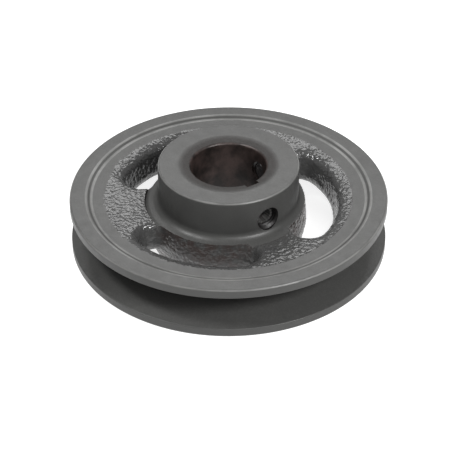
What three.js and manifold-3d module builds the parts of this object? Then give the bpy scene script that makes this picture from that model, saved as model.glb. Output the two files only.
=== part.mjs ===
// A single-groove V belt pulley: a cast-iron sheave bored for a keyed shaft, with two set screws
// in its hub. Millimetres. The origin is on the bore's axis at the rear face, +Z points to the
// hub's nose, and +X points through the keyway and the set screw over it.
import * as THREE from 'three';
import { mergeVertices } from 'three/addons/utils/BufferGeometryUtils.js';
import Module from 'manifold-3d';

const INCH = 25.4;

// Rim and V groove, for an A or 4L section belt
const OUTSIDE_R = 4.25 * INCH / 2;
const FACE_WIDTH = 0.75 * INCH;
const MID_Z = FACE_WIDTH / 2;
const GROOVE_TOP_WIDTH = 0.494 * INCH;
const GROOVE_FLOOR_R = 41.5;
const GROOVE_HALF_ANGLE = THREE.MathUtils.degToRad(17);
const EDGE_CHAMFER = 0.5;
const RING_INNER_R = 48.4;      // inner edge of the turned ring on each side of the rim
const RING_STEP_R = 46.7;       // foot of the bevel inside the front ring, and of the rear one's wall
const RING_STEP_DROP = 0.9;

// Hub
const HUB_LENGTH = (1 + 7 / 32) * INCH;
const NOSE_R = 1.875 * INCH / 2;
const NOSE_CHAMFER = 0.6;
const SHOULDER_Z = 16.9;        // where the turned nose meets the cast boss
const BOSS_R = 26.7;            // cast boss where it meets the arms
const BOSS_MID_R = 27.3;        // cast boss at the parting plane, with its draft
const ARM_FRONT_Z = 16.3;       // front face of the arms at the boss
const ARM_REAR_Z = 6.0;         // rear face of the arms at the boss
const ARM_REAR_RING_Z = 4.0;    // rear face of the arms at the rim
const REAR_FACE_R = 25.4;       // turned rear face of the hub

// Bore and keyway
const BORE_R = 1.0 * INCH / 2;
const BORE_CHAMFER = 0.6;
const MOUTH_R = 16.7;           // shallow dish round the bore in the hub's nose
const MOUTH_DEPTH = 0.5;
const KEY_WIDTH = 3 / 16 * INCH;
const KEY_DEPTH = 3 / 32 * INCH;
const KEY_FLOOR_R = Math.sqrt(BORE_R ** 2 - (KEY_WIDTH / 2) ** 2) + KEY_DEPTH;

// Three openings between the arms, measured at the parting plane: one is longer than the others
const OPENINGS = [
  { centre: THREE.MathUtils.degToRad(-53.9), halfSpan: THREE.MathUtils.degToRad(37) },
  { centre: THREE.MathUtils.degToRad(59.6), halfSpan: THREE.MathUtils.degToRad(43.5) },
  { centre: THREE.MathUtils.degToRad(186.1), halfSpan: THREE.MathUtils.degToRad(37) },
];
const OPENING_OUTER_R = 36.5;
const OPENING_INNER_R = BOSS_R; // the boss's wall closes this side
const OPENING_CORNER_R = 4.2;
const OPENING_LAND = 0.6;       // straight wall across the parting plane, where the flash is
const OPENING_FLARE = THREE.MathUtils.degToRad(14); // lean of the walls towards both faces

// 5/16-18 set screws
const SCREW_Z = 22.2;
const TAPPED_R = 4.0;
const SCREW_R = 3.7;
const SCREW_LENGTH = 0.25 * INCH;
const SCREW_CHAMFER = 0.7;
const HEX_FLATS = 5 / 32 * INCH;
const HEX_DEPTH = 3.2;
const CUP_R = 2.0;
const CUP_DEPTH = 0.9;
const KEY_CLEARANCE = 0.15;     // gap that the keyway screw keeps to the key's seat
const SHAFT_CLEARANCE = 0.25;   // gap that the side screw keeps to the bore

const TURNED_SIDES = 72;
const SCREW_SIDES = 24;
const OVERCUT = 4;              // how far a cutter runs past the faces

const wasm = await Module();
wasm.setup();

/** Makes a solid from closed geometry. */
function toSolid(geometry) {
  const bare = geometry.clone();
  bare.deleteAttribute('normal');
  bare.deleteAttribute('uv');
  const merged = mergeVertices(bare);
  return new wasm.Manifold(new wasm.Mesh({
    numProp: 3,
    vertProperties: new Float32Array(merged.attributes.position.array),
    triVerts: new Uint32Array(merged.index.array),
  }));
}

/** Makes geometry from a solid. */
function toGeometry(solid) {
  const mesh = solid.getMesh();
  const geometry = new THREE.BufferGeometry();
  geometry.setAttribute('position', new THREE.BufferAttribute(mesh.vertProperties, 3));
  geometry.setIndex(new THREE.BufferAttribute(mesh.triVerts, 1));
  return geometry;
}

/** Turns a profile of [radius, z] points about the Z axis. */
function turned(profile, sides) {
  const points = profile.map(([radius, z]) => new THREE.Vector2(radius, z));
  return new THREE.LatheGeometry(points, sides).rotateX(Math.PI / 2);
}

/** The bored blank: rim, groove, one full web in place of the arms, and hub. */
function blank() {
  const grooveLow = MID_Z - GROOVE_TOP_WIDTH / 2;
  const grooveHigh = MID_Z + GROOVE_TOP_WIDTH / 2;
  const taper = (OUTSIDE_R - GROOVE_FLOOR_R) * Math.tan(GROOVE_HALF_ANGLE);
  const rimEdge = OUTSIDE_R - EDGE_CHAMFER;
  const profile = [
    [BORE_R + BORE_CHAMFER, 0],
    [REAR_FACE_R, 0],
    [BOSS_R, ARM_REAR_Z],
    [RING_STEP_R, ARM_REAR_RING_Z],
    [RING_INNER_R, 0],
    [rimEdge, 0],
    [OUTSIDE_R, EDGE_CHAMFER],
    [OUTSIDE_R, grooveLow],
    [GROOVE_FLOOR_R, grooveLow + taper],
    [GROOVE_FLOOR_R, grooveHigh - taper],
    [OUTSIDE_R, grooveHigh],
    [OUTSIDE_R, FACE_WIDTH - EDGE_CHAMFER],
    [rimEdge, FACE_WIDTH],
    [RING_INNER_R, FACE_WIDTH],
    [RING_STEP_R, FACE_WIDTH - RING_STEP_DROP],
    [BOSS_R, ARM_FRONT_Z],
    [NOSE_R + NOSE_CHAMFER, SHOULDER_Z],
    [NOSE_R, SHOULDER_Z + NOSE_CHAMFER],
    [NOSE_R, HUB_LENGTH - NOSE_CHAMFER],
    [NOSE_R - NOSE_CHAMFER, HUB_LENGTH],
    [MOUTH_R, HUB_LENGTH],
    [BORE_R + BORE_CHAMFER, HUB_LENGTH - MOUTH_DEPTH],
    [BORE_R, HUB_LENGTH - MOUTH_DEPTH - BORE_CHAMFER],
    [BORE_R, BORE_CHAMFER],
    [BORE_R + BORE_CHAMFER, 0],
  ];
  return toSolid(turned(profile, TURNED_SIDES));
}

/** The kidney-shaped outline of an opening at the parting plane, lying across the X axis. */
function kidneyShape(halfSpan) {
  const shape = new THREE.Shape();
  const outerCorner = OPENING_OUTER_R - OPENING_CORNER_R;
  const innerCorner = OPENING_INNER_R + OPENING_CORNER_R;
  const outerSpan = halfSpan - Math.asin(OPENING_CORNER_R / outerCorner);
  const innerSpan = halfSpan - Math.asin(OPENING_CORNER_R / innerCorner);
  const corner = (radius, angle, from, to) => shape.absarc(
    radius * Math.cos(angle), radius * Math.sin(angle), OPENING_CORNER_R, from, to, false);

  const endWall = halfSpan + Math.PI / 2;
  shape.absarc(0, 0, OPENING_OUTER_R, -outerSpan, outerSpan, false);
  corner(outerCorner, outerSpan, outerSpan, endWall);
  corner(innerCorner, innerSpan, endWall, innerSpan + Math.PI);
  shape.absarc(0, 0, OPENING_INNER_R, innerSpan, -innerSpan, true);
  corner(innerCorner, -innerSpan, Math.PI - innerSpan, 2 * Math.PI - endWall);
  corner(outerCorner, -outerSpan, -endWall, -outerSpan);
  return shape;
}

/** What an opening takes out of the web: narrow at the parting plane, wide at both faces. */
function opening({ centre, halfSpan }, boss) {
  const flareHeight = MID_Z + OVERCUT - OPENING_LAND / 2;
  const growth = flareHeight * Math.tan(OPENING_FLARE);
  const cutter = new THREE.ExtrudeGeometry(kidneyShape(halfSpan), {
    depth: OPENING_LAND,
    curveSegments: 8,
    bevelSegments: 1,
    bevelThickness: flareHeight,
    bevelSize: -growth,
    bevelOffset: growth,
  });
  cutter.translate(0, 0, MID_Z - OPENING_LAND / 2).rotateZ(centre);
  return toSolid(cutter).subtract(boss);
}

/** The boss as it stands in the openings, which the opening cutters leave alone. */
function bossGuard() {
  return toSolid(turned([
    [0, -2 * OVERCUT],
    [BOSS_R, -2 * OVERCUT],
    [BOSS_R, ARM_REAR_Z],
    [BOSS_MID_R, MID_Z],
    [BOSS_R, ARM_FRONT_Z],
    [BOSS_R, HUB_LENGTH],
    [0, HUB_LENGTH],
  ], TURNED_SIDES));
}

/** The keyway's cutter, along the whole bore. */
function keySeat() {
  const seat = new THREE.BoxGeometry(KEY_FLOOR_R, KEY_WIDTH, HUB_LENGTH + 2 * OVERCUT);
  return toSolid(seat.translate(KEY_FLOOR_R / 2, 0, HUB_LENGTH / 2));
}

/** A tapped hole's cutter, from the bore out through the hub along +X, then turned about Z. */
function tappedHole(angle) {
  const length = NOSE_R + OVERCUT;
  const hole = new THREE.CylinderGeometry(TAPPED_R, TAPPED_R, length, SCREW_SIDES);
  hole.rotateZ(-Math.PI / 2).translate(length / 2, 0, SCREW_Z).rotateZ(angle);
  return toSolid(hole);
}

function pulleyCasting() {
  const boss = bossGuard();
  let casting = blank();
  for (const place of OPENINGS) casting = casting.subtract(opening(place, boss));
  casting = casting.subtract(keySeat());
  casting = casting.subtract(tappedHole(0)).subtract(tappedHole(Math.PI / 2));
  const paintedIron = new THREE.MeshStandardMaterial({
    color: 0x55565a, roughness: 0.45, metalness: 0.3,
  });
  const mesh = new THREE.Mesh(toGeometry(casting), paintedIron);
  mesh.name = 'pulley_casting';
  return mesh;
}

/** A socket set screw standing on the origin along +Z, cup point down. */
function setScrew(name) {
  const body = toSolid(turned([
    [0, CUP_DEPTH],
    [CUP_R, 0],
    [SCREW_R - SCREW_CHAMFER, 0],
    [SCREW_R, SCREW_CHAMFER],
    [SCREW_R, SCREW_LENGTH - SCREW_CHAMFER],
    [SCREW_R - SCREW_CHAMFER, SCREW_LENGTH],
    [0, SCREW_LENGTH],
  ], SCREW_SIDES));
  const hexCornerR = HEX_FLATS / Math.sqrt(3);
  const socket = new THREE.CylinderGeometry(hexCornerR, hexCornerR, 2 * HEX_DEPTH, 6);
  socket.rotateX(Math.PI / 2).translate(0, 0, SCREW_LENGTH);
  const blackSteel = new THREE.MeshStandardMaterial({
    color: 0x26262a, roughness: 0.4, metalness: 0.8,
  });
  const mesh = new THREE.Mesh(toGeometry(body.subtract(toSolid(socket))), blackSteel);
  mesh.name = name;
  return mesh;
}

const pulley = new THREE.Group();
pulley.add(pulleyCasting());

const keywayScrew = setScrew('set_screw_keyway');
keywayScrew.rotation.y = Math.PI / 2;
keywayScrew.position.set(KEY_FLOOR_R + KEY_CLEARANCE, 0, SCREW_Z);
pulley.add(keywayScrew);

const sideScrew = setScrew('set_screw_side');
sideScrew.rotation.x = -Math.PI / 2;
sideScrew.position.set(0, BORE_R + SHAFT_CLEARANCE, SCREW_Z);
pulley.add(sideScrew);

export default pulley;
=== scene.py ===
import math

import bmesh
import bpy
from mathutils import Matrix, Vector


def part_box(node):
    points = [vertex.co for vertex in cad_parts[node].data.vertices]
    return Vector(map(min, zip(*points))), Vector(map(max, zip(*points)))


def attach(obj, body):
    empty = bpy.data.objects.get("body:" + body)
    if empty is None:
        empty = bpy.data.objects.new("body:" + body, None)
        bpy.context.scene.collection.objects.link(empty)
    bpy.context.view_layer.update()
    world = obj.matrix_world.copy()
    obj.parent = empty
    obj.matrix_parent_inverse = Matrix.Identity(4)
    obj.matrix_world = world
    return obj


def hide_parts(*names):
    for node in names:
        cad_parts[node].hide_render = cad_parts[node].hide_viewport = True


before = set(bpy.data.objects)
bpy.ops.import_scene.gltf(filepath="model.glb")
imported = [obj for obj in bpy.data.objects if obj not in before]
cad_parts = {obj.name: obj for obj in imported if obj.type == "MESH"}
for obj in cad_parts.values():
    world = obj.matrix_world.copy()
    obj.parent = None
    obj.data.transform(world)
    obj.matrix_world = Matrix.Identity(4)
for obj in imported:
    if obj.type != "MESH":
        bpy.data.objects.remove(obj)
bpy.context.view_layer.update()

collection = bpy.context.scene.collection

# ---------------------------------------------------------------------------------------------
# Bench and studio. The pulley lies on its rear face on a plain white table lit softly from
# below, inside a white light tent. The camera looks down at it, 33 degrees round from the
# keyway.
# ---------------------------------------------------------------------------------------------
CAMERA_AZIMUTH = math.radians(56.6)
CAMERA_ELEVATION = math.radians(36.0)
CAMERA_DISTANCE = 0.595
CAMERA_LENS = 138.8
CAMERA_ROLL = math.radians(-0.285)
RIM_MID = Vector((0, 0, 0.00975))
AIM_LEFT = 0.00126
AIM_DOWN = 0.00378

camera_data = bpy.data.cameras.new("camera")
camera_data.lens = CAMERA_LENS
camera_data.sensor_width = 36
camera_data.clip_start = 0.01
camera = bpy.data.objects.new("camera", camera_data)
collection.objects.link(camera)
to_camera = Vector((
    math.sin(CAMERA_AZIMUTH) * math.cos(CAMERA_ELEVATION),
    -math.cos(CAMERA_AZIMUTH) * math.cos(CAMERA_ELEVATION),
    math.sin(CAMERA_ELEVATION),
))
camera_right = Vector((math.cos(CAMERA_AZIMUTH), math.sin(CAMERA_AZIMUTH), 0))
camera_up = to_camera.cross(camera_right)
camera.location = RIM_MID + CAMERA_DISTANCE * to_camera
aim = RIM_MID - AIM_LEFT * camera_right - AIM_DOWN * camera_up
look = (aim - camera.location).to_track_quat("-Z", "Y").to_matrix().to_4x4()
camera.matrix_world = (
    Matrix.Translation(camera.location) @ look @ Matrix.Rotation(CAMERA_ROLL, 4, "Z")
)
bpy.context.scene.camera = camera

BENCH_SIZE = 6.0
BENCH_COLOUR = (0.4, 0.4, 0.4, 1)
BENCH_GLOW = 0.82

bench_mesh = bmesh.new()
bmesh.ops.create_grid(bench_mesh, x_segments=1, y_segments=1, size=BENCH_SIZE / 2)
bench_data = bpy.data.meshes.new("bench")
bench_mesh.to_mesh(bench_data)
bench_mesh.free()
bench = bpy.data.objects.new("bench", bench_data)
collection.objects.link(bench)
bench_paint = bpy.data.materials.new("bench_white")
bench_paint.use_nodes = True
bench_shader = bench_paint.node_tree.nodes["Principled BSDF"]
bench_shader.inputs["Base Color"].default_value = BENCH_COLOUR
bench_shader.inputs["Roughness"].default_value = 0.6
bench_shader.inputs["Emission Color"].default_value = (1, 1, 1, 1)
bench_shader.inputs["Emission Strength"].default_value = BENCH_GLOW
bench_data.materials.append(bench_paint)


def softbox(name, azimuth, elevation, distance, width, height, power):
    """A rectangular light that faces the pulley; azimuth 0 is the camera's own side."""
    light = bpy.data.lights.new(name, "AREA")
    light.shape = "RECTANGLE"
    light.size = width
    light.size_y = height
    light.energy = power
    lamp = bpy.data.objects.new(name, light)
    turn = CAMERA_AZIMUTH + math.radians(azimuth)
    rise = math.radians(elevation)
    away = Vector((
        math.sin(turn) * math.cos(rise), -math.cos(turn) * math.cos(rise), math.sin(rise),
    ))
    facing = away.to_track_quat("Z", "Y").to_matrix().to_4x4()
    lamp.matrix_world = Matrix.Translation(away * distance) @ facing
    collection.objects.link(lamp)


softbox("right", azimuth=46, elevation=42, distance=0.95, width=0.26, height=0.26, power=8)
softbox("left", azimuth=-78, elevation=58, distance=0.95, width=0.22, height=0.20, power=5)
softbox("back", azimuth=180, elevation=46, distance=0.95, width=0.9, height=0.4, power=5)
softbox("front", azimuth=10, elevation=39, distance=1.1, width=0.6, height=0.4, power=2.6)

tent = bpy.data.worlds.new("light_tent")
tent.use_nodes = True
tent.node_tree.nodes["Background"].inputs["Color"].default_value = (1, 1, 1, 1)
tent.node_tree.nodes["Background"].inputs["Strength"].default_value = 0.30
bpy.context.scene.world = tent
bpy.context.scene.view_settings.view_transform = "Standard"

# ---------------------------------------------------------------------------------------------
# Casting. One grey-iron casting holds the rim, the broad arms and the hub. It is poured in a
# sand mould parted at the middle of the rim, then turned, bored, broached, drilled and tapped,
# and dipped in dark grey enamel before its bore is finished.
# ---------------------------------------------------------------------------------------------
MM = 0.001
INCH = 25.4
_, box_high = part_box("pulley_casting")
OUTSIDE_R = box_high.x / MM
HUB_TOP = box_high.z / MM
FACE_WIDTH = 0.75 * INCH
PARTING_Z = FACE_WIDTH / 2
NOSE_R = 1.875 * INCH / 2
BOSS_R = 27.3
RING_INNER_R = 48.3
STEP_R = 46.7
STEP_Z = 18.15
SAME_POINT = 1e-6


def as_object(name, mesh):
    """Puts a bmesh in a new object at the origin."""
    data = bpy.data.meshes.new(name)
    mesh.to_mesh(data)
    mesh.free()
    piece = bpy.data.objects.new(name, data)
    collection.objects.link(piece)
    return piece


def turned(name, profile, steps):
    """Spins a profile once about the Z axis: (radius, z, rounding) points, in millimetres."""
    mesh = bmesh.new()
    corners = [mesh.verts.new((radius * MM, 0, z * MM)) for radius, z, _ in profile]
    for pair in zip(corners, corners[1:]):
        mesh.edges.new(pair)
    for corner, (_, _, rounding) in zip(corners, profile):
        if rounding:
            bmesh.ops.bevel(
                mesh, geom=[corner], offset=rounding * MM, offset_type="OFFSET", segments=4,
                profile=0.5, affect="VERTICES", material=-1,
            )
    bmesh.ops.spin(
        mesh, geom=mesh.verts[:] + mesh.edges[:], cent=(0, 0, 0), axis=(0, 0, 1),
        angle=2 * math.pi, steps=steps, use_merge=True,
    )
    bmesh.ops.remove_doubles(mesh, verts=mesh.verts, dist=SAME_POINT)
    bmesh.ops.recalc_face_normals(mesh, faces=mesh.faces)
    return as_object(name, mesh)


def apply_modifiers(piece):
    """Makes a piece's modifiers part of its mesh."""
    depsgraph = bpy.context.evaluated_depsgraph_get()
    finished = bpy.data.meshes.new_from_object(piece.evaluated_get(depsgraph))
    piece.modifiers.clear()
    piece.data = finished


def combine(piece, tool, operation):
    """Joins, cuts or trims a piece with a tool, and uses the tool up."""
    boolean = piece.modifiers.new(operation.lower(), "BOOLEAN")
    boolean.operation = operation
    boolean.solver = "MANIFOLD"
    boolean.material_mode = "TRANSFER"
    boolean.object = tool
    apply_modifiers(piece)
    bpy.data.objects.remove(tool)


def add(tree, kind, inputs=None, **settings):
    """Adds a shader node, with values or other nodes' outputs given to its sockets."""
    made = tree.nodes.new(kind)
    for name, value in settings.items():
        setattr(made, name, value)
    for socket, value in (inputs or {}).items():
        if isinstance(value, bpy.types.NodeSocket):
            tree.links.new(value, made.inputs[socket])
        else:
            made.inputs[socket].default_value = value
    return made


def shared_effect(name, inputs, outputs):
    """Starts a node group with named inputs and outputs, given as (name, socket type, value)."""
    group = bpy.data.node_groups.new(name, "ShaderNodeTree")
    for label, kind, value in inputs:
        socket = group.interface.new_socket(label, in_out="INPUT", socket_type=kind)
        socket.default_value = value
    for label, kind in outputs:
        group.interface.new_socket(label, in_out="OUTPUT", socket_type=kind)
    return group, group.nodes.new("NodeGroupInput"), group.nodes.new("NodeGroupOutput")


# Where a point lies on the pulley, in millimetres: from the bore's axis, above the bench.
place, _, place_out = shared_effect("pulley_place", [], [
    ("Point", "NodeSocketVector"), ("Radius", "NodeSocketFloat"), ("Height", "NodeSocketFloat"),
])
coordinate = add(place, "ShaderNodeTexCoord")
point = add(place, "ShaderNodeVectorMath", {0: coordinate.outputs["Object"], "Scale": 1000},
            operation="SCALE")
flat_point = add(place, "ShaderNodeVectorMath", {0: point.outputs[0], 1: (1, 1, 0)},
                 operation="MULTIPLY")
radius = add(place, "ShaderNodeVectorMath", {0: flat_point.outputs[0]}, operation="LENGTH")
split_point = add(place, "ShaderNodeSeparateXYZ", {0: point.outputs[0]})
place.links.new(point.outputs[0], place_out.inputs["Point"])
place.links.new(radius.outputs["Value"], place_out.inputs["Radius"])
place.links.new(split_point.outputs["Z"], place_out.inputs["Height"])

# Uneven paint or metal: soft patches of a given size in millimetres.
mottle, mottle_in, mottle_out = shared_effect("mottle", [
    ("Point", "NodeSocketVector", (0, 0, 0)), ("Size", "NodeSocketFloat", 5.0),
    ("Contrast", "NodeSocketFloat", 1.0),
], [("Mask", "NodeSocketFloat")])
patch_scale = add(mottle, "ShaderNodeMath", {0: 1.0, 1: mottle_in.outputs["Size"]},
                  operation="DIVIDE")
patches = add(mottle, "ShaderNodeTexNoise", {
    "Vector": mottle_in.outputs["Point"], "Scale": patch_scale.outputs[0], "Detail": 3.0,
    "Roughness": 0.6,
})
centred = add(mottle, "ShaderNodeMath", {0: patches.outputs["Fac"], 1: 0.5}, operation="SUBTRACT")
stretched = add(mottle, "ShaderNodeMath", {
    0: centred.outputs[0], 1: mottle_in.outputs["Contrast"], 2: 0.5,
}, operation="MULTIPLY_ADD", use_clamp=True)
mottle.links.new(stretched.outputs[0], mottle_out.inputs["Mask"])

# Fine feed lines left by the lathe, round faces, cylinders and bevels alike.
lathe, lathe_in, lathe_out = shared_effect("lathe_marks", [
    ("Point", "NodeSocketVector", (0, 0, 0)), ("Radius", "NodeSocketFloat", 0.0),
    ("Height", "NodeSocketFloat", 0.0), ("Feed", "NodeSocketFloat", 0.3),
], [("Relief", "NodeSocketFloat")])
travel = add(lathe, "ShaderNodeMath", {
    0: lathe_in.outputs["Radius"], 1: lathe_in.outputs["Height"],
}, operation="ADD")
turns = add(lathe, "ShaderNodeMath", {
    0: travel.outputs[0], 1: lathe_in.outputs["Feed"],
}, operation="DIVIDE")
ridge = add(lathe, "ShaderNodeTexNoise", {"W": turns.outputs[0], "Scale": 1.0, "Detail": 2.0},
            noise_dimensions="1D")
worn_patch = add(lathe, "ShaderNodeTexNoise", {
    "Vector": lathe_in.outputs["Point"], "Scale": 0.25, "Detail": 2.0,
})
relief = add(lathe, "ShaderNodeMath", {
    0: ridge.outputs["Fac"], 1: worn_patch.outputs["Fac"],
}, operation="MULTIPLY")
lathe.links.new(relief.outputs[0], lathe_out.inputs["Relief"])

# Edges lightened in broken patches: rubbed oxide on the screws, and on the turned enamel painted
# highlight lines that are partly rubbed enamel.
edge_wear_and_highlight, edge_wear_and_highlight_in, edge_wear_and_highlight_out = shared_effect("edge_wear_and_highlight", [
    ("Point", "NodeSocketVector", (0, 0, 0)), ("Edge", "NodeSocketFloat", 0.0),
    ("Amount", "NodeSocketFloat", 0.5),
], [("Mask", "NodeSocketFloat")])
edge_noise = add(edge_wear_and_highlight, "ShaderNodeTexNoise", {
    "Vector": edge_wear_and_highlight_in.outputs["Point"], "Scale": 0.07, "Detail": 3.0, "Roughness": 0.6,
})
edge_patch = add(edge_wear_and_highlight, "ShaderNodeMapRange", {
    "Value": edge_noise.outputs["Fac"], "From Min": 0.2, "From Max": 0.6,
})
edge_mark = add(edge_wear_and_highlight, "ShaderNodeMath", {0: edge_wear_and_highlight_in.outputs["Edge"], 1: edge_patch.outputs[0]},
          operation="MULTIPLY")
edge_mark_amount = add(edge_wear_and_highlight, "ShaderNodeMath", {0: edge_mark.outputs[0], 1: edge_wear_and_highlight_in.outputs["Amount"]},
                 operation="MULTIPLY")
edge_wear_and_highlight.links.new(edge_mark_amount.outputs[0], edge_wear_and_highlight_out.inputs["Mask"])

# Pale dust that settles on faces turned upwards.
dust, dust_in, dust_out = shared_effect("settled_dust", [
    ("Point", "NodeSocketVector", (0, 0, 0)), ("Amount", "NodeSocketFloat", 0.1),
], [("Mask", "NodeSocketFloat")])
dust_shape = add(dust, "ShaderNodeNewGeometry")
dust_normal = add(dust, "ShaderNodeSeparateXYZ", {0: dust_shape.outputs["Normal"]})
upward = add(dust, "ShaderNodeMapRange", {
    "Value": dust_normal.outputs["Z"], "From Min": 0.6, "From Max": 1.0,
})
specks = add(dust, "ShaderNodeTexNoise", {
    "Vector": dust_in.outputs["Point"], "Scale": 1.6, "Detail": 4.0, "Roughness": 0.7,
})
dust_patch = add(dust, "ShaderNodeMapRange", {
    "Value": specks.outputs["Fac"], "From Min": 0.45, "From Max": 0.75,
})
lying = add(dust, "ShaderNodeMath", {0: upward.outputs[0], 1: dust_patch.outputs[0]},
            operation="MULTIPLY")
dust_amount = add(dust, "ShaderNodeMath", {0: lying.outputs[0], 1: dust_in.outputs["Amount"]},
                  operation="MULTIPLY")
dust.links.new(dust_amount.outputs[0], dust_out.inputs["Mask"])


def new_finish(name):
    """Starts a material, and returns it with its node tree, its shader and the pulley's place."""
    finish = bpy.data.materials.new(name)
    finish.use_nodes = True
    tree = finish.node_tree
    where = add(tree, "ShaderNodeGroup", node_tree=place)
    return finish, tree, tree.nodes["Principled BSDF"], where


def effect(tree, group, where, **inputs):
    """Places a shared effect in a material, with its values and the pulley's place."""
    for name in ("Point", "Radius", "Height"):
        if name in group.interface.items_tree:
            inputs[name] = where.outputs[name]
    return add(tree, "ShaderNodeGroup", inputs, node_tree=group)


MIX_FACTOR = 0
MIX_FIRST_COLOUR = 6
MIX_SECOND_COLOUR = 7
MIX_COLOUR_RESULT = 2


def blend(tree, mask, first, second):
    """Mixes two colours by a mask."""
    mix = add(tree, "ShaderNodeMix", {
        MIX_FACTOR: mask, MIX_FIRST_COLOUR: first, MIX_SECOND_COLOUR: second,
    }, data_type="RGBA")
    return mix.outputs[MIX_COLOUR_RESULT]


def between(tree, mask, low, high):
    """Turns a mask into a value between two ends."""
    return add(tree, "ShaderNodeMapRange", {"Value": mask, "To Min": low, "To Max": high}).outputs[0]


# Enamel over the sand-cast skin: glossy in patches, and brownish on the boss, where it ran thin;
# that brown is also darker, as painted shade in the corner round the boss.
CAST_GREY = (0.050, 0.050, 0.049, 1)
CAST_DARK = (0.038, 0.038, 0.038, 1)
BOSS_BROWN_AND_SHADE = (0.040, 0.031, 0.029, 1)
EDGE_WEAR_AND_HIGHLIGHT_GREY = (0.34, 0.34, 0.33, 1)
DUST_GREY = (0.30, 0.29, 0.28, 1)
ALL_BROWN_R = 27.0
NO_BROWN_R = 29.5
CAST_ROUGHNESS = (0.12, 0.22)
CAST_BUMP = 0.34
cast_enamel, tree, shader, where = new_finish("cast_enamel")
patchy = effect(tree, mottle, where, Size=7.0, Contrast=2.0)
colour = blend(tree, patchy.outputs["Mask"], CAST_DARK, CAST_GREY)
# Painted shade: the brown near the boss is also darker than the skin, in the corner where web meets
# hub.
near_boss = add(tree, "ShaderNodeMapRange", {
    "Value": where.outputs["Radius"], "From Min": ALL_BROWN_R, "From Max": NO_BROWN_R,
    "To Min": 1.0, "To Max": 0.0,
})
brown_patch = effect(tree, mottle, where, Size=4.0, Contrast=4.0)
boss_brown_and_shade = add(tree, "ShaderNodeMath", {
    0: near_boss.outputs[0], 1: brown_patch.outputs["Mask"],
}, operation="MULTIPLY")
colour = blend(tree, boss_brown_and_shade.outputs[0], colour, BOSS_BROWN_AND_SHADE)
dusty = effect(tree, dust, where, Amount=0.05)
colour = blend(tree, dusty.outputs["Mask"], colour, DUST_GREY)
tree.links.new(colour, shader.inputs["Base Color"])
gloss_patch = effect(tree, mottle, where, Size=2.5, Contrast=2.5)
cast_gloss = between(tree, gloss_patch.outputs["Mask"], *CAST_ROUGHNESS)
tree.links.new(cast_gloss, shader.inputs["Roughness"])
sand = add(tree, "ShaderNodeTexNoise", {
    "Vector": where.outputs["Point"], "Scale": 0.85, "Detail": 1.0, "Roughness": 0.5,
})
cast_bump = add(tree, "ShaderNodeBump", {
    "Strength": 1.0, "Distance": CAST_BUMP * MM, "Height": sand.outputs["Fac"],
})
tree.links.new(cast_bump.outputs["Normal"], shader.inputs["Normal"])

# Enamel over the turned faces: satin, with the lathe's lines just showing through, darker round
# the bore's mouth, and lighter along the turned edges, a painted highlight that is partly rubbed
# enamel.
TURNED_GREY = (0.046, 0.046, 0.044, 1)
TURNED_DARK = (0.038, 0.038, 0.037, 1)
MOUTH_BROWN = (0.018, 0.016, 0.015, 1)
MOUTH_DARK_R = 14.8
MOUTH_CLEAN_R = 17.7
MOUTH_DULLNESS = 0.25
EDGE_LINE_FULL = 0.35
EDGE_LINE_REACH = 0.6
TURNED_ROUGHNESS = (0.34, 0.46)
TURNED_BUMP = 0.03
turned_enamel, tree, shader, where = new_finish("turned_enamel")
shader.inputs["IOR"].default_value = 1.4
patchy = effect(tree, mottle, where, Size=9.0, Contrast=1.6)
colour = blend(tree, patchy.outputs["Mask"], TURNED_DARK, TURNED_GREY)
at_mouth = add(tree, "ShaderNodeMapRange", {
    "Value": where.outputs["Radius"], "From Min": MOUTH_DARK_R, "From Max": MOUTH_CLEAN_R,
    "To Min": 1.0, "To Max": 0.0,
}, interpolation_type="SMOOTHSTEP")
colour = blend(tree, at_mouth.outputs[0], colour, MOUTH_BROWN)
# Painted highlight: thin lighter lines along five turned edges, partly standing for rubbed enamel.
worn_and_highlit_rings = 0.0
for ring_radius, ring_height in (
    (NOSE_R, HUB_TOP), (OUTSIDE_R, FACE_WIDTH), (OUTSIDE_R, 0.0), (RING_INNER_R, FACE_WIDTH),
    (STEP_R, STEP_Z),
):
    across = add(tree, "ShaderNodeMath", {0: where.outputs["Radius"], 1: ring_radius},
                 operation="SUBTRACT")
    along = add(tree, "ShaderNodeMath", {0: where.outputs["Height"], 1: ring_height},
                operation="SUBTRACT")
    offset = add(tree, "ShaderNodeCombineXYZ", {0: across.outputs[0], 1: along.outputs[0]})
    away = add(tree, "ShaderNodeVectorMath", {0: offset.outputs[0]}, operation="LENGTH")
    near_ring = add(tree, "ShaderNodeMapRange", {
        "Value": away.outputs["Value"], "From Min": EDGE_LINE_FULL, "From Max": EDGE_LINE_REACH,
        "To Min": 1.0, "To Max": 0.0,
    })
    worn_and_highlit_rings = add(tree, "ShaderNodeMath", {0: near_ring.outputs[0], 1: worn_and_highlit_rings},
                     operation="MAXIMUM").outputs[0]
edges = effect(tree, edge_wear_and_highlight, where, Edge=worn_and_highlit_rings, Amount=0.32)
colour = blend(tree, edges.outputs["Mask"], colour, EDGE_WEAR_AND_HIGHLIGHT_GREY)
dusty = effect(tree, dust, where, Amount=0.05)
colour = blend(tree, dusty.outputs["Mask"], colour, DUST_GREY)
tree.links.new(colour, shader.inputs["Base Color"])
gloss_patch = effect(tree, mottle, where, Size=3.0, Contrast=2.0)
satin = between(tree, gloss_patch.outputs["Mask"], *TURNED_ROUGHNESS)
dull_mouth = add(tree, "ShaderNodeMath", {0: at_mouth.outputs[0], 1: MOUTH_DULLNESS, 2: satin},
                 operation="MULTIPLY_ADD")
tree.links.new(dull_mouth.outputs[0], shader.inputs["Roughness"])
lines = effect(tree, lathe, where, Feed=0.35)
orange_peel = add(tree, "ShaderNodeTexNoise", {
    "Vector": where.outputs["Point"], "Scale": 0.9, "Detail": 1.0,
})
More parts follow.
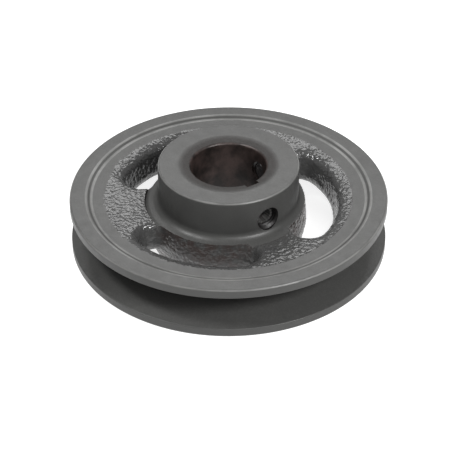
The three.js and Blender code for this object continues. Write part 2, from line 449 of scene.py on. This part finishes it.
skin = add(tree, "ShaderNodeMath", {
    0: orange_peel.outputs["Fac"], 1: lines.outputs["Relief"],
}, operation="ADD")
turned_bump = add(tree, "ShaderNodeBump", {
    "Strength": 0.6, "Distance": TURNED_BUMP * MM, "Height": skin.outputs[0],
})
tree.links.new(turned_bump.outputs["Normal"], shader.inputs["Normal"])

# Bare iron in the bore, keyway and tapped holes, browned by oil and a little rust. Beyond 15 mm from
# the axis the iron is painted near-black, as painted shade inside the tapped holes.
IRON_DARK = (0.016, 0.013, 0.012, 1)
IRON_BROWN = (0.040, 0.026, 0.023, 1)
HOLE_SHADE_BLACK = (0.006, 0.005, 0.005, 1)
HOLE_STARTS_R = 15.0
HOLE_BLACK_R = 17.0
IRON_ROUGHNESS = (0.28, 0.5)
IRON_METAL = (0.4, 0.1)
BORE_BUMP = 0.04
bored_iron, tree, shader, where = new_finish("bored_iron")
rust = effect(tree, mottle, where, Size=5.0, Contrast=3.0)
colour = blend(tree, rust.outputs["Mask"], IRON_DARK, IRON_BROWN)
# Painted shade: near-black iron from 15 mm outwards, deep in the tapped holes.
in_tapped_hole = add(tree, "ShaderNodeMapRange", {
    "Value": where.outputs["Radius"], "From Min": HOLE_STARTS_R, "From Max": HOLE_BLACK_R,
})
colour = blend(tree, in_tapped_hole.outputs[0], colour, HOLE_SHADE_BLACK)
tree.links.new(colour, shader.inputs["Base Color"])
iron_gloss = between(tree, rust.outputs["Mask"], *IRON_ROUGHNESS)
tree.links.new(iron_gloss, shader.inputs["Roughness"])
iron_metal = between(tree, rust.outputs["Mask"], *IRON_METAL)
tree.links.new(iron_metal, shader.inputs["Metallic"])
lines = effect(tree, lathe, where, Feed=0.25)
bore_bump = add(tree, "ShaderNodeBump", {
    "Strength": 0.7, "Distance": BORE_BUMP * MM, "Height": lines.outputs["Relief"],
})
tree.links.new(bore_bump.outputs["Normal"], shader.inputs["Normal"])

# The mould's cavity: rim and web, left thick wherever the lathe takes metal off.
RIM_ALLOWANCE = 1.4
WEB_AT_RING = 18.85
WEB_AT_BOSS = 16.4
WEB_REAR_AT_BOSS = 6.0
WEB_REAR_AT_RING = 4.0
WEB_AT_AXIS = 15.9
CAST_RING_R = 48.4
CAST_STEP_R = 47.2
web = turned("web", [
    (0, WEB_REAR_AT_BOSS, 0),
    (BOSS_R, WEB_REAR_AT_BOSS, 0),
    (STEP_R, WEB_REAR_AT_RING, 0),
    (RING_INNER_R, -RIM_ALLOWANCE, 0),
    (OUTSIDE_R + RIM_ALLOWANCE, -RIM_ALLOWANCE, 0),
    (OUTSIDE_R + RIM_ALLOWANCE, FACE_WIDTH + RIM_ALLOWANCE, 0),
    (CAST_RING_R, FACE_WIDTH + RIM_ALLOWANCE, 0),
    (CAST_STEP_R, WEB_AT_RING, 0),
    (BOSS_R, WEB_AT_BOSS, 0),
    (0, WEB_AT_AXIS, 0),
], steps=128)

# Three openings, drafted both ways from the parting plane, where a thin flash is left. Each has
# the angle of its middle and half its span, in degrees, and a wall of (growth, height) points.
OPENINGS = ((-53.4, 27.6), (59.6, 34.5), (187.6, 26.5))
OPENING_MID_R = 31.8
OPENING_HALF_WIDTH = 4.5
OPENING_WALL = [
    (14.0, -8.0), (6.0, -5.0), (3.0, -3.9), (1.5, -3.1), (0.7, -2.1), (0.3, -0.7), (0.0, -0.35),
    (0.0, 0.35), (0.3, 0.7), (0.8, 3.0), (1.2, 5.0), (1.6, 6.2), (2.2, 7.1), (3.4, 7.9),
    (5.8, 8.7), (14.0, 11.2),
]
for number, (centre, half_span) in enumerate(OPENINGS):
    core = bmesh.new()
    wall = [
        core.verts.new((
            (OPENING_MID_R + OPENING_HALF_WIDTH + growth) * MM, 0, (PARTING_Z + height) * MM,
        ))
        for growth, height in OPENING_WALL
    ]
    edge = wall + [core.edges.new(pair) for pair in zip(wall, wall[1:])]
    start_end = Matrix.Rotation(math.radians(centre - half_span), 3, "Z")
    far_end = Matrix.Rotation(math.radians(centre + half_span), 3, "Z")
    end_point = Vector((OPENING_MID_R * MM, 0, 0))
    bmesh.ops.rotate(core, verts=wall, cent=(0, 0, 0), matrix=start_end)
    for middle, angle, steps in (
        ((0, 0, 0), math.radians(2 * half_span), 40),
        (far_end @ end_point, math.pi, 20),
        ((0, 0, 0), math.radians(-2 * half_span), 40),
        (start_end @ end_point, math.pi, 20),
    ):
        edge = bmesh.ops.spin(
            core, geom=edge, cent=middle, axis=(0, 0, 1), angle=angle, steps=steps,
        )["geom_last"]
    bmesh.ops.remove_doubles(core, verts=core.verts, dist=SAME_POINT)
    open_edges = [e for e in core.edges if e.is_boundary]
    bmesh.ops.holes_fill(core, edges=open_edges, sides=0)
    bmesh.ops.recalc_face_normals(core, faces=core.faces)
    combine(web, as_object(f"core_{number}", core), "DIFFERENCE")

boss = turned("boss", [
    (0, -RIM_ALLOWANCE, 0),
    (24.6, -RIM_ALLOWANCE, 0),
    (25.2, 0, 0),
    (26.7, WEB_REAR_AT_BOSS, 0),
    (BOSS_R, PARTING_Z, 0),
    (26.6, WEB_AT_BOSS, 0),
    (26.3, 19.0, 0),
    (25.3, 20.5, 0),
    (25.2, HUB_TOP + RIM_ALLOWANCE, 0),
    (0, HUB_TOP + RIM_ALLOWANCE, 0),
], steps=128)
combine(web, boss, "UNION")
casting = web
casting.name = "pulley"

# The mould halves sat a little off the centre that the lathe found.
CAST_SHIFT = Vector((-0.36, -0.54, 0)) * MM
casting.data.transform(Matrix.Translation(CAST_SHIFT))

GRAIN_VOXEL = 0.5
sand_mould = casting.modifiers.new("sand_mould", "REMESH")
sand_mould.mode = "VOXEL"
sand_mould.voxel_size = GRAIN_VOXEL * MM
sand_mould.use_smooth_shade = True
fillets = casting.modifiers.new("fillets", "SMOOTH")
fillets.factor = 0.5
fillets.iterations = 16
for name, size, strength in (("sand_lumps", 3.0, 0.2), ("sand_grains", 1.0, 0.36)):
    texture = bpy.data.textures.new(name, "CLOUDS")
    texture.noise_scale = size * MM
    texture.noise_depth = 1
    grain = casting.modifiers.new(name, "DISPLACE")
    grain.texture = texture
    grain.texture_coords = "LOCAL"
    grain.mid_level = 0.5
    grain.strength = strength * MM
apply_modifiers(casting)
casting.data.materials.clear()
casting.data.materials.append(cast_enamel)

# The lathe's cuts: outside, groove, both ring faces, hub nose and rear face. Between the two
# clear radii its tool stays above the web, which keeps its cast skin.
GROOVE_HALF_WIDTH = 0.494 * INCH / 2
GROOVE_FLOOR_R = 41.5
GROOVE_HALF_ANGLE = math.radians(17)
GROOVE_TAPER = (OUTSIDE_R - GROOVE_FLOOR_R) * math.tan(GROOVE_HALF_ANGLE)
CLEAR_Z = 20.5
CLEAR_INNER_R = 28.6
CLEAR_OUTER_R = 41.0
CHAMFER = 0.5
MOUTH_R = 16.8
envelope = turned("lathe_envelope", [
    (0, 0, 0),
    (RING_INNER_R, 0, 0),
    (OUTSIDE_R - CHAMFER, 0, 0.15),
    (OUTSIDE_R, CHAMFER, 0.15),
    (OUTSIDE_R, PARTING_Z - GROOVE_HALF_WIDTH, 0.25),
    (GROOVE_FLOOR_R, PARTING_Z - GROOVE_HALF_WIDTH + GROOVE_TAPER, 0.8),
    (GROOVE_FLOOR_R, PARTING_Z + GROOVE_HALF_WIDTH - GROOVE_TAPER, 0.8),
    (OUTSIDE_R, PARTING_Z + GROOVE_HALF_WIDTH, 0.25),
    (OUTSIDE_R, FACE_WIDTH - CHAMFER, 0.15),
    (OUTSIDE_R - CHAMFER, FACE_WIDTH, 0.15),
    (OUTSIDE_R - 1.0, FACE_WIDTH, 0),
    (RING_INNER_R + 0.5, FACE_WIDTH, 0),
    (RING_INNER_R, FACE_WIDTH, 0.5),
    (STEP_R, STEP_Z, 0.6),
    (42.0, STEP_Z, 0),
    (CLEAR_OUTER_R, CLEAR_Z, 0),
    (CLEAR_INNER_R, CLEAR_Z, 0),
    (CLEAR_INNER_R, 15.4, 0),
    (BOSS_R, 16.1, 0.3),
    (24.9, 16.9, 0.9),
    (NOSE_R, 18.3, 0.9),
    (NOSE_R, HUB_TOP - 1.2, 0),
    (NOSE_R, HUB_TOP - CHAMFER, 0.15),
    (NOSE_R - CHAMFER, HUB_TOP, 0.15),
    (NOSE_R - 1.0, HUB_TOP, 0),
    (MOUTH_R + 0.7, HUB_TOP, 0),
    (0, HUB_TOP, 0),
], steps=256)
envelope.data.materials.append(turned_enamel)
combine(casting, envelope, "INTERSECT")

# The bore, and a shallow dish round its mouth, where the enamel is browned and dull.
BORE_R = 0.5 * INCH
OVERSHOOT = 2
bore = turned("bore_cutter", [
    (0, -1, 0),
    (BORE_R + 1.6, -1, 0),
    (BORE_R, 0.6, 0.2),
    (BORE_R, HUB_TOP - 1.1, 0.3),
    (BORE_R + 0.9, HUB_TOP - 0.3, 0),
    (BORE_R + 0.9, HUB_TOP + OVERSHOOT, 0),
    (0, HUB_TOP + OVERSHOOT, 0),
], steps=192)
bore.data.materials.append(bored_iron)
combine(casting, bore, "DIFFERENCE")
dish = turned("dish_cutter", [
    (0, HUB_TOP - 0.75, 0),
    (BORE_R + 0.5, HUB_TOP - 0.62, 0),
    (BORE_R + 1.4, HUB_TOP - 0.45, 0.4),
    (MOUTH_R - 0.9, HUB_TOP - 0.22, 0.6),
    (MOUTH_R + 0.2, HUB_TOP + 0.03, 0),
    (MOUTH_R + 0.2, HUB_TOP + OVERSHOOT, 0),
    (0, HUB_TOP + OVERSHOOT, 0),
], steps=192)
dish.data.materials.append(turned_enamel)
combine(casting, dish, "DIFFERENCE")

# The keyway, broached along the whole bore towards +X.
KEY_WIDTH = 3 / 16 * INCH
KEY_FLOOR_R = math.sqrt(BORE_R ** 2 - (KEY_WIDTH / 2) ** 2) + 3 / 32 * INCH
BROACH_LENGTH = 40
BROACH_MID_Z = 15
key_seat = bmesh.new()
bmesh.ops.create_cube(key_seat, size=1)
bmesh.ops.scale(
    key_seat, verts=key_seat.verts, vec=(KEY_FLOOR_R * MM, KEY_WIDTH * MM, BROACH_LENGTH * MM),
)
bmesh.ops.translate(
    key_seat, verts=key_seat.verts, vec=(KEY_FLOOR_R * MM / 2, 0, BROACH_MID_Z * MM),
)
floor_corners = [
    e for e in key_seat.edges
    if all(v.co.x > 0.5 * KEY_FLOOR_R * MM for v in e.verts) and e.verts[0].co.y == e.verts[1].co.y
]
bmesh.ops.bevel(
    key_seat, geom=floor_corners, offset=0.3 * MM, offset_type="OFFSET", segments=3,
    profile=0.5, affect="EDGES", material=-1,
)
key_cutter = as_object("key_cutter", key_seat)
key_cutter.data.materials.append(bored_iron)
combine(casting, key_cutter, "DIFFERENCE")

# Two tapped holes for 5/16-18 set screws, one over the keyway and one a quarter turn from it.
THREAD_PITCH = INCH / 18
THREAD_STEPS = 40
screw_low, screw_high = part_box("set_screw_keyway")
SCREW_Z = (screw_low.z + screw_high.z) / 2 / MM


def thread(name, root_r, crest_r, start, end):
    """A right-hand thread along the Z axis with flat ends, its turns in step with any other's."""
    first_turn = math.floor(start / THREAD_PITCH) - 1
    turn_count = math.ceil(end / THREAD_PITCH) + 1 - first_turn
    mesh = bmesh.new()
    flank = [
        mesh.verts.new((radius * MM, 0, (first_turn + share) * THREAD_PITCH * MM))
        for radius, share in (
            (root_r, 0), (root_r, 0.2), (crest_r, 0.53), (crest_r, 0.67), (root_r, 1),
        )
    ]
    edges = [mesh.edges.new(pair) for pair in zip(flank, flank[1:])]
    bmesh.ops.spin(
        mesh, geom=flank + edges, cent=(0, 0, 0), axis=(0, 0, 1),
        dvec=(0, 0, THREAD_PITCH * MM / THREAD_STEPS), angle=2 * math.pi * turn_count,
        steps=THREAD_STEPS * turn_count,
    )
    bmesh.ops.remove_doubles(mesh, verts=mesh.verts, dist=SAME_POINT)
    for height, side in ((start, -1), (end, 1)):
        bmesh.ops.bisect_plane(
            mesh, geom=mesh.verts[:] + mesh.edges[:] + mesh.faces[:], dist=1e-8,
            plane_co=(0, 0, height * MM), plane_no=(0, 0, side), clear_outer=True,
        )
    open_edges = [e for e in mesh.edges if e.is_boundary]
    bmesh.ops.holes_fill(mesh, edges=open_edges, sides=0)
    bmesh.ops.recalc_face_normals(mesh, faces=mesh.faces)
    return as_object(name, mesh)


def laid_out(quarter_turns):
    """Turns a piece made along Z, so that it points out through the hub that far from +X."""
    height = Matrix.Translation((0, 0, SCREW_Z * MM))
    turn = Matrix.Rotation(quarter_turns * math.pi / 2, 4, "Z")
    return height @ turn @ Matrix.Rotation(math.pi / 2, 4, "Y")


# Each screw's node, its body, and how many quarter turns from +X it points: 0 is X, 1 is Y.
SET_SCREWS = (("set_screw_keyway", "keyway_screw", 0), ("set_screw_side", "side_screw", 1))
TAP_MINOR_R = 3.35
TAP_MAJOR_R = 4.02
TAP_START_R = 8.0
for _, _, quarter_turns in SET_SCREWS:
    tap = thread("tap", TAP_MINOR_R, TAP_MAJOR_R, TAP_START_R, NOSE_R + OVERSHOOT)
    countersink = turned("countersink", [
        (0, NOSE_R - 1.2, 0),
        (TAP_MINOR_R, NOSE_R - 1.2, 0),
        (TAP_MAJOR_R + 0.15, NOSE_R - 0.35, 0.2),
        (TAP_MAJOR_R + 0.2, NOSE_R + OVERSHOOT, 0),
        (0, NOSE_R + OVERSHOOT, 0),
    ], steps=64)
    for cutter in (tap, countersink):
        cutter.data.transform(laid_out(quarter_turns))
        cutter.data.materials.append(bored_iron)
        combine(casting, cutter, "DIFFERENCE")

CASTING_CREASE = math.radians(38)
for face in casting.data.polygons:
    face.use_smooth = True
casting.data.set_sharp_from_angle(angle=CASTING_CREASE)
flat_faces_lead = casting.modifiers.new("flat_faces_lead", "WEIGHTED_NORMAL")
flat_faces_lead.keep_sharp = True
flat_faces_lead.weight = 80
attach(casting, "pulley")
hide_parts("pulley_casting")

# ---------------------------------------------------------------------------------------------
# Set screws. Two 5/16-18 socket set screws, 1/4 in long, of black-oxide alloy steel: cup point
# inwards, hexagon socket outwards. One bears on the key and one on the shaft.
# ---------------------------------------------------------------------------------------------
SCREW_ROOT_R = 3.25
SCREW_CREST_R = 3.93
HEX_FLATS = 5 / 32 * INCH
HEX_CORNER_R = HEX_FLATS / math.sqrt(3)
HEX_DEPTH = 3.2
CUP_INNER_R = 2.0
CUP_OUTER_R = 2.7
CUP_DEPTH = 0.9
THREAD_SPARE = 0.5
SCREW_CREASE = math.radians(30)
OXIDE_BLACK = (0.022, 0.022, 0.024, 1)
OXIDE_BROWN = (0.040, 0.036, 0.034, 1)
OXIDE_ROUGHNESS = (0.30, 0.48)
OXIDE_METAL = (0.5, 1.0)
OXIDE_BUMP = 0.03

black_oxide, tree, shader, where = new_finish("black_oxide")
patchy = effect(tree, mottle, where, Size=1.5, Contrast=2.5)
colour = blend(tree, patchy.outputs["Mask"], OXIDE_BLACK, OXIDE_BROWN)
shape = add(tree, "ShaderNodeNewGeometry")
ridges = add(tree, "ShaderNodeMapRange", {
    "Value": shape.outputs["Pointiness"], "From Min": 0.515, "From Max": 0.6,
})
edges = effect(tree, edge_wear_and_highlight, where, Edge=ridges.outputs[0], Amount=0.8)
colour = blend(tree, edges.outputs["Mask"], colour, EDGE_WEAR_AND_HIGHLIGHT_GREY)
tree.links.new(colour, shader.inputs["Base Color"])
oxide_gloss = between(tree, patchy.outputs["Mask"], *OXIDE_ROUGHNESS)
tree.links.new(oxide_gloss, shader.inputs["Roughness"])
oxide_metal = between(tree, edges.outputs["Mask"], *OXIDE_METAL)
tree.links.new(oxide_metal, shader.inputs["Metallic"])
drawn = add(tree, "ShaderNodeTexNoise", {
    "Vector": where.outputs["Point"], "Scale": 4.0, "Detail": 3.0,
})
oxide_bump = add(tree, "ShaderNodeBump", {
    "Strength": 0.5, "Distance": OXIDE_BUMP * MM, "Height": drawn.outputs["Fac"],
})
tree.links.new(oxide_bump.outputs["Normal"], shader.inputs["Normal"])

for node, body, quarter_turns in SET_SCREWS:
    low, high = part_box(node)
    tip = low[quarter_turns] / MM
    end = high[quarter_turns] / MM
    screw = thread(
        f"{node}_threaded", SCREW_ROOT_R, SCREW_CREST_R, tip - THREAD_SPARE, end + THREAD_SPARE,
    )
    blank = turned("screw_blank", [
        (0, tip + CUP_DEPTH, 0),
        (CUP_INNER_R, tip, 0.1),
        (CUP_OUTER_R, tip, 0.1),
        (SCREW_CREST_R + 0.1, tip + 1.1, 0),
        (SCREW_CREST_R + 0.1, end - 0.6, 0),
        (SCREW_CREST_R - 0.7, end, 0.1),
        (0, end, 0),
    ], steps=64)
    combine(screw, blank, "INTERSECT")
    socket = bmesh.new()
    bmesh.ops.create_cone(
        socket, cap_ends=True, segments=6, radius1=HEX_CORNER_R * MM,
        radius2=HEX_CORNER_R * MM, depth=2 * HEX_DEPTH * MM,
    )
    bmesh.ops.translate(socket, verts=socket.verts, vec=(0, 0, end * MM))
    combine(screw, as_object("hex_key", socket), "DIFFERENCE")
    drill = turned("drill", [
        (0, end - HEX_DEPTH - 0.9, 0),
        (HEX_FLATS / 2 - 0.1, end - HEX_DEPTH, 0),
        (HEX_FLATS / 2 + 0.35, end + 0.1, 0),
        (0, end + 0.1, 0),
    ], steps=48)
    combine(screw, drill, "DIFFERENCE")
    screw.data.transform(laid_out(quarter_turns))
    for face in screw.data.polygons:
        face.use_smooth = True
    screw.data.set_sharp_from_angle(angle=SCREW_CREASE)
    screw.data.materials.clear()
    screw.data.materials.append(black_oxide)
    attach(screw, body)
    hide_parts(node)
